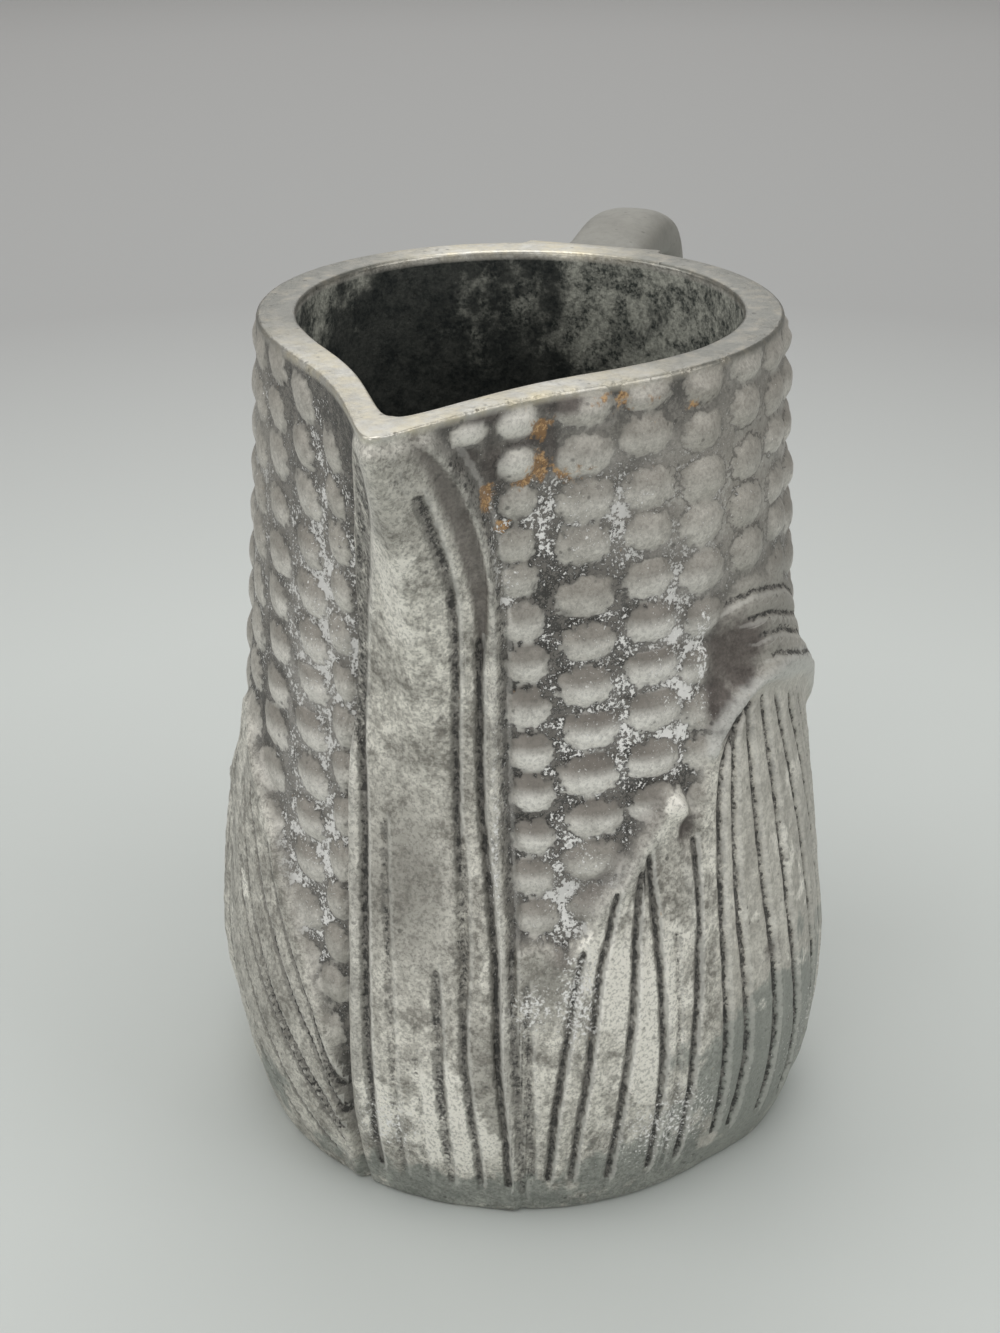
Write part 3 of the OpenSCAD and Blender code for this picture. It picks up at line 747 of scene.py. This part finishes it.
# Wavering edges: a fine noise is added to the distance from a kernel's edge and from a groove's middle
waver = add_node(tree, "ShaderNodeTexNoise", {"Vector": place, "Scale": 1200, "Detail": 4}).outputs["Fac"]
waver = math_node(tree, "SUBTRACT", waver, 0.5)
kernel_in = math_node(tree, "ADD", mark["kernel_share"], product(tree, waver, 1.9))
line_off = math_node(tree, "ADD", mark["line_offset"], product(tree, waver, 0.8))
faint = mark["faint"]
fade_out = math_node(tree, "SUBTRACT", 1, faint)
thin_line = product(tree, ramp_of(tree, kernel_in, 0.08, -0.08), ramp_of(tree, kernel_in, -0.42, -0.2))
thin_line = product(tree, thin_line, faint, 0.8)
recess = product(tree, ramp_of(tree, kernel_in, 0.13, -0.09), fade_out)
recess = product(tree, math_node(tree, "MAXIMUM", recess, thin_line), ear)
web = product(tree, ramp_of(tree, kernel_in, 0.02, -0.35), ear)
ring = product(tree, ramp_of(tree, kernel_in, 0.42, 0.08), ear, fade_out)
line_gap = math_node(tree, "ABSOLUTE", line_off)
line_dark = mark["line_dark"]
broken = ramp_of(tree, patch(tree, place, 260, 0.6, 0.3, 8), 0, 1, 0.5, 1)
core = product(tree, ramp_of(tree, line_gap, 0.46, 0.08), ramp_of(tree, line_near, 0.4, 0.62))
core = product(tree, core, line_dark, broken)
calm = mark["calm"]
# Painted highlight on the bank along one side of each groove
groove_side_highlight = product(tree, ramp_of(tree, line_off, 0.3, 0.5), ramp_of(tree, line_off, 1.0, 0.7),
                ramp_of(tree, line_near, 0.02, 0.12), line_dark, ramp_of(tree, calm, 0, 1, 0.9, 0.6))
smoky = product(tree, ramp_of(tree, line_near, 0.05, 0.75), line_dark, ramp_of(tree, calm, 0, 1, 1, 0.4))


def grit(tree, place, scale):
    """Uneven value from 0 to 1 with hard edges at three scales, the middle one scale points to the metre."""
    coarse = product(tree, patch(tree, place, scale * 0.35, 0.5, 0.06, 12), 0.42)
    middle = product(tree, patch(tree, place, scale, 0.5, 0.06, 8), 0.26)
    fine = product(tree, patch(tree, place, scale * 2.7, 0.5, 0.06, 4), 0.32)
    return math_node(tree, "ADD", coarse, math_node(tree, "ADD", middle, fine))


# Clean metal: some kernels are painted dark brown above as shade and pale below as a reflection of the pale
# table, and the leaves are mottled at three scales
coarse_grit, fine_grit = grit(tree, place, 420), grit(tree, place, 1000)
lit_and_shaded_halves = tint(tree, mark["kernel_lit_lower_half"], (0.215, 0.195, 0.172), (1, 0.98, 0.925))
metal = tint(tree, mark["kernel_tone"], (0.475, 0.452, 0.402), (0.59, 0.57, 0.515))
metal = tint(tree, mark["lit_and_shaded_halves"], metal, lit_and_shaded_halves)
gritty = ramp_of(tree, mark["lit_and_shaded_halves"], 0, 1, 0.52, 0.3)
metal = tint(tree, fine_grit, metal, (0.20, 0.185, 0.16), gritty)
leaf_grit = math_node(tree, "MULTIPLY", coarse_grit, ramp_of(tree, calm, 0, 1, 1, 0.5))
leaf_grit = math_node(tree, "ADD", leaf_grit, product(tree, calm, 0.27))
leaf_metal = tint(tree, leaf_grit, (0.26, 0.246, 0.216), (0.88, 0.855, 0.775))
colour = tint(tree, ear, leaf_metal, metal)
dim = math_node(tree, "MULTIPLY_ADD", coarse_grit, 0.5, 0.6)
green = patch(tree, place, 170, mark["green"], 0.06, 12)
umber_and_shade = tint(tree, fine_grit, (0.085, 0.072, 0.065), (0.17, 0.15, 0.135))
speckle = patch(tree, place, 2400, 0.42, 0.05, 4)
speckled = ramp_of(tree, math_node(tree, "MAXIMUM", calm, ear), 0, 1, 0.4, 0.22)
colour = layered(tree, colour, [
    # Painted highlight along the ribs
    (mark["rib_highlight"], (0.80, 0.79, 0.74), 0.28),
    (mark["dim"], (0.225, 0.215, 0.19), dim),
    (green, (0.215, 0.24, 0.218), 0.68),
    # Brown stains, and painted shade in the hollow under the flap, the notch and under the rim right of the
    # spout
    (patch(tree, place, 150, mark["umber_and_shade"], 0.15), umber_and_shade, 1),
    # Painted highlight on the rolled lip
    (mark["lip"], (0.60, 0.60, 0.565), 0.85),
    (mark["shade"], umber_and_shade, 0.8),
    (patch(tree, place, 130, mark["pale"], 0.05, 12), (0.90, 0.875, 0.80), 1),
    (mark["bright"], (0.90, 0.885, 0.82), 0.78),
    (speckle, (0.11, 0.105, 0.095), speckled)])

# Dirt: dark oxide and white bloom as salt and pepper round the kernels, dark grooves with a painted highlight
# along one side, and rust in places
ring_dark = ramp_of(tree, mark["lit_and_shaded_halves"], 0, 1, 0.5, 0.3)
uneven = ramp_of(tree, patch(tree, place, 330, 0.5, 0.25, 3), 0, 1, 0.6, 1.25)
bloom = product(tree, mark["bloom"], uneven)
clump = ramp_of(tree, patch(tree, place, 520, 0.5, 0.14, 6), 0, 1, 0.5, 1.0)
pepper = patch(tree, place, 2600, product(tree, clump, 0.78), 0.06, 3)
dark_grain = tint(tree, pepper, (0.15, 0.142, 0.128), (0.025, 0.025, 0.023))
salt = patch(tree, place, 2600, product(tree, bloom, clump, ramp_of(tree, web, 0, 1, 0.68, 0.94)), 0.06, 3)
smoke = patch(tree, place, 600, product(tree, smoky, 0.9), 0.12, 10)
grimy = patch(tree, place, 1900, product(tree, core, 0.93), 0.12, 5)
rusted = product(tree, mark["rust"], ramp_of(tree, ring, 0.1, 0.9, 0.6, 0.95))
rusted = patch(tree, place, 900, rusted, 0.09, 12)
rust = tint(tree, pepper, (0.60, 0.37, 0.16), (0.30, 0.17, 0.07))
grains = patch(tree, place, 2700, product(tree, bloom, 0.28), 0.06, 3)
chalk = patch(tree, place, 2200, mark["chalk"], 0.06, 5)
white = math_node(tree, "MAXIMUM", product(tree, salt, recess), chalk)
white = math_node(tree, "MAXIMUM", white, product(tree, grains, ear))
colour = layered(tree, colour, [
    (ring, (0.13, 0.13, 0.12), ring_dark),
    (recess, dark_grain, 0.88),
    (smoke, (0.16, 0.155, 0.14), 0.65),
    (groove_side_highlight, (0.84, 0.83, 0.78), 0.4),
    (grimy, dark_grain, 0.9),
    (rusted, rust, 0.8),
    (white, (0.88, 0.875, 0.85), 1)])

# Inside: dark, with cloudy grey granular oxide; the rim is ground, and its colour holds a painted reflection,
# bright at the spout and at the back-left and dull at the sides
inner_colour = tint(tree, grit(tree, place, 760), (0.035, 0.042, 0.037), (0.50, 0.505, 0.44))
# The inside painted darker at the left and the back
inner_darkened = patch(tree, place, 120, mark["inner_darker"], 0.09, 12)
inner_colour = tint(tree, inner_darkened, inner_colour, (0.006, 0.010, 0.010), 0.88)
colour = tint(tree, mark["inside"], colour, inner_colour)
rim_dull = tint(tree, coarse_grit, (0.22, 0.22, 0.195), (0.30, 0.295, 0.265))
rim_dull = tint(tree, patch(tree, place, 420, 0.2, 0.2, 4), rim_dull, (0.44, 0.40, 0.32))
rim_bright = tint(tree, coarse_grit, (0.50, 0.49, 0.45), (0.70, 0.69, 0.64))
rim_bright = tint(tree, patch(tree, place, 330, 0.42, 0.25, 6), rim_bright, (0.72, 0.65, 0.47))
rim_colour = tint(tree, ramp_of(tree, mark["sheen"], 0.15, 0.8), rim_dull, rim_bright)
colour = tint(tree, rim, colour, rim_colour)
grain, colour = grained(tree, place, colour, (0.05, 0.05, 0.045))

# Gloss: dirt, bloom and the inside are dull and rough, and the ground rim is the smoothest metal
dull = white
for mask in (recess, inside, grimy):
    dull = math_node(tree, "MAXIMUM", dull, mask)
metallic = ramp_of(tree, rim, 0, 1, ramp_of(tree, dull, 0, 1, 0.45, 0.05), 0.85)
roughness = ramp_of(tree, rim, 0, 1, ramp_of(tree, dull, 0, 1, 0.52, 0.85), 0.34)
paint(tree, shader, colour, metallic, roughness)
rough_place = ramp_of(tree, math_node(tree, "MAXIMUM", recess, inside), 0, 1, 0.12, 0.28)
skin = product(tree, grain, rough_place)
skin = math_node(tree, "SUBTRACT", skin, product(tree, core, 0.3))
skin = math_node(tree, "ADD", skin, product(tree, white, 0.08))
bump_up(tree, shader, skin, 0.7, 1 * mm)
dress(body, material)
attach(body, "root")
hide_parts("body")

# Base disc: a turned plate that closes the foot from below, dulled by age.
material, tree, shader, place = plain_material("turned_disc_metal")
colour = tint(tree, patch(tree, place, 90, 0.5, 0.2), (0.42, 0.41, 0.38), (0.56, 0.55, 0.52))
grain, colour = grained(tree, place, colour, (0.06, 0.06, 0.055))
paint(tree, shader, colour, 0.8, 0.5)
bump_up(tree, shader, grain, 0.4, 0.1 * mm)
dress(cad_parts["base_disc"], material)

# Handle: a bent strap cast apart from the body, with two flutes along its outer face, smoothed by use.
# A flat oval is drawn out ring by ring, and the rings are then laid along the curve of the handle.
handle_w, handle_t, root_share, flute_t, section_power = 11, 6.6, 1.1, 0.4, 0.62
top_joint_z, low_joint_z, leg, outermost_x, arch, corner_z = 100.77, 41, 1.4, 57.2, 4.44, 88.8
section_points, ring_step, leg_rings, bend_rings, crease = 48, 1, 6, 42, radians(50)
uneven_share, uneven_size = 0.015, 0.22


def oval(v):
    """Sine or cosine flattened to a fuller oval."""
    return np.sign(v) * np.abs(v) ** section_power


def section(turn, w, t, flute):
    """Points of the handle's section at angles turn: across the handle, and outwards from its middle."""
    hollow = flute * (1 - np.cos(3 * (turn - pi / 2))) / 2 * np.where(np.sin(turn) > 0, np.sin(turn), 0)
    return w / 2 * oval(np.cos(turn)), (t / 2 - hollow) * oval(np.sin(turn))


def bezier(p, t):
    """Points of a cubic curve with four control points."""
    p = np.array(p)
    t = t[:, None]
    return (1 - t) ** 3 * p[0] + 3 * (1 - t) ** 2 * t * p[1] + 3 * (1 - t) * t * t * p[2] + t ** 3 * p[3]


top_end, low_end = np.array((top_seat + 2 * leg, top_joint_z)), np.array((low_seat + 2 * leg, low_joint_z))
outermost, drop = np.array((outermost_x, corner_z)), top_joint_z - low_joint_z
share = np.linspace(0, 1, bend_rings)
top_pulls = [top_end + ((outermost_x - top_end[0]) * 0.6, arch * 0.7), (outermost_x, top_joint_z + arch)]
low_pulls = [outermost - (0, drop * 0.48), low_end + ((outermost_x - low_end[0]) * 0.8, 0)]
top_leg_x = np.linspace(top_seat, top_end[0], leg_rings)[:-1]
low_leg_x = np.linspace(low_end[0], low_seat, leg_rings)[1:]
handle_path = np.vstack((
    np.column_stack((top_leg_x, np.full(len(top_leg_x), top_joint_z))),
    bezier([top_end, *top_pulls, outermost], share),
    bezier([outermost, *low_pulls, low_end], share)[1:],
    np.column_stack((low_leg_x, np.full(len(low_leg_x), low_joint_z)))))
rings = len(handle_path)
bpy.ops.object.select_all(action="DESELECT")
bpy.ops.mesh.primitive_circle_add(vertices=section_points, radius=1, fill_type="NGON")
handle = bpy.context.object
handle.name = "bent_strap"
bpy.ops.object.mode_set(mode="EDIT")
bpy.ops.mesh.select_mode(type="FACE")
bpy.ops.mesh.select_all(action="SELECT")
for _ in range(rings - 1):
    bpy.ops.mesh.extrude_region_move(TRANSFORM_OT_translate={"value": (0, 0, ring_step)})
bpy.ops.object.mode_set(mode="OBJECT")
face_outwards()
xyz = points_of(handle)
ring = np.rint(xyz[:, 2] / ring_step).astype(int)
way = np.gradient(handle_path, axis=0)
way[0], way[-1] = (1, 0), (-1, 0)
way /= np.hypot(*way.T)[:, None]
gone = np.concatenate(([0], np.cumsum(np.hypot(*np.diff(handle_path, axis=0).T))))
end_gap = np.minimum(gone, gone[-1] - gone)[ring]
swell = 1 + (root_share - 1) * smooth((6.8 - end_gap) / 4)
fluted = flute_t * smooth((end_gap - 4) / 7)
across_w, out_t = section(np.arctan2(xyz[:, 1], xyz[:, 0]), handle_w * swell, handle_t * swell, fluted)
middle, heading = handle_path[ring], way[ring]
uneven_t = np.array([noise.noise(Vector((x, y, w)) * uneven_size) for (x, y), w in zip(middle, across_w)])
out_t = out_t * (1 + uneven_share * uneven_t * smooth(end_gap / 3))
flat_x, flat_z = middle[:, 0] - heading[:, 1] * out_t, middle[:, 1] + heading[:, 0] * out_t


def turned_home(points):
    """Points in the handle's own plane, turned to its place behind the body, in metres."""
    c, s = np.cos(radians(handle_turn)), np.sin(radians(handle_turn))
    x, y, z = points.T
    return np.column_stack((x * c - y * s, x * s + y * c, z)) * mm


move_points(handle, turned_home(np.column_stack((flat_x, across_w, flat_z))))
bpy.ops.object.shade_smooth_by_angle(angle=crease)
material, tree, shader, place = plain_material("worn_handle_metal")
colour = tint(tree, patch(tree, place, 80, 0.5, 0.2, 8), (0.25, 0.245, 0.22), (0.31, 0.305, 0.275))
colour = tint(tree, patch(tree, place, 700, 0.42, 0.1, 6), colour, (0.20, 0.20, 0.18), 0.3)
grain, colour = grained(tree, place, colour, (0.08, 0.08, 0.07))
paint(tree, shader, colour, 0.35, 0.58)
bump_up(tree, shader, grain, 0.4, 0.15 * mm)
dress(handle, material)
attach(handle, "root")
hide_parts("handle")

# Solder: a fillet run round each end of the handle, hollow in section, and the plain bead round the disc.
# Each fillet is a ring whose eight section points are the corner, and seven along the hollow face.
fillet_points, under_rim = 8, 0.35
fillets = []
for name, seat, joint_z in (("top_fillet", top_seat, top_joint_z), ("low_fillet", low_seat, low_joint_z)):
    bpy.ops.object.select_all(action="DESELECT")
    bpy.ops.mesh.primitive_torus_add(major_segments=section_points, minor_segments=fillet_points,
                                     major_radius=1, minor_radius=0.2)
    fillet = bpy.context.object
    fillet.name = name
    x, y, z = points_of(fillet).T
    round_turn = np.arctan2(y, x)
    point = np.rint(np.arctan2(z, np.hypot(x, y) - 1) / (2 * pi / fillet_points)).astype(int) % fillet_points
    bend = (point - 1) / (fillet_points - 2) * pi / 2
    out = np.where(point == 0, 0, leg * (1 - np.sin(bend)))
    spread = np.where(point == 0, 0, 1 - np.cos(bend))
    near_y, near_z = section(round_turn, handle_w * root_share, handle_t * root_share, 0)
    far_y, far_z = section(round_turn, handle_w * root_share + 2 * leg, handle_t * root_share + 2 * leg, 0)
    ring_y, ring_z = near_y + spread * (far_y - near_y), near_z + spread * (far_z - near_z)
    ring_z = np.minimum(joint_z + ring_z, body_h - under_rim)
    move_points(fillet, turned_home(np.column_stack((seat + out, ring_y, ring_z))))
    face_outwards()
    bpy.ops.object.shade_smooth_by_angle(angle=crease)
    fillets.append(fillet)
for fillet in fillets:
    fillet.select_set(True)
bpy.context.view_layer.objects.active = fillets[0]
bpy.ops.object.join()
solder = fillets[0]
solder.name = "run_fillets"
material, tree, shader, place = plain_material("run_solder")
colour = tint(tree, patch(tree, place, 200, 0.5, 0.2), (0.30, 0.30, 0.285), (0.44, 0.435, 0.41))
paint(tree, shader, colour, 0.7, 0.42)
dress(solder, material)
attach(solder, "root")
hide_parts("handle_solder")
dress(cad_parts["base_solder"], material)
